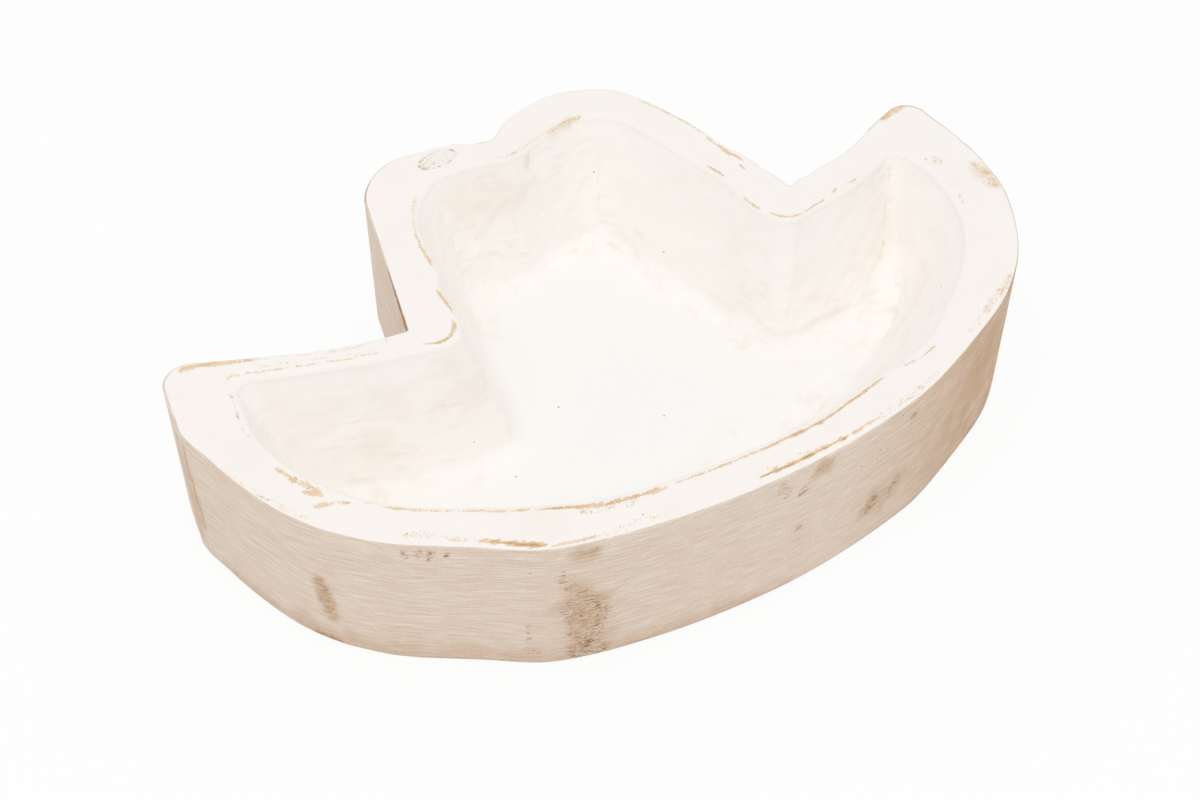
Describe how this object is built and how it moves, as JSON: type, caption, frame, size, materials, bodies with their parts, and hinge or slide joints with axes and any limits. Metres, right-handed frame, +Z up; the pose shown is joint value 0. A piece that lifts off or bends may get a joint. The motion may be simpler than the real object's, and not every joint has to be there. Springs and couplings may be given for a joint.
{
  "type": "dough bowl",
  "caption": "Hat-shaped dough bowl carved from one thick plank, with a flat rim, leaning inner walls and a flat floor, for rising dough or for holding bread, fruit or candles.",
  "frame": {"origin": "middle of the outline's box, on the flat underside", "axes": "+X along the brim, towards the larger lobe of the crown; +Y from the brim's round front to the crown; +Z up, out of the hollow"},
  "size_m": [0.334, 0.222, 0.0635],
  "materials": {
    "whitewashed_wood": "matte white wash, rubbed through to tan wood at the edges",
    "knot_wood": "matte white wash over darker branch wood"
  },
  "bodies": {
    "root": {"bowl_body": "whitewashed_wood", "rim_knot": "knot_wood"}
  },
  "joints": []
}
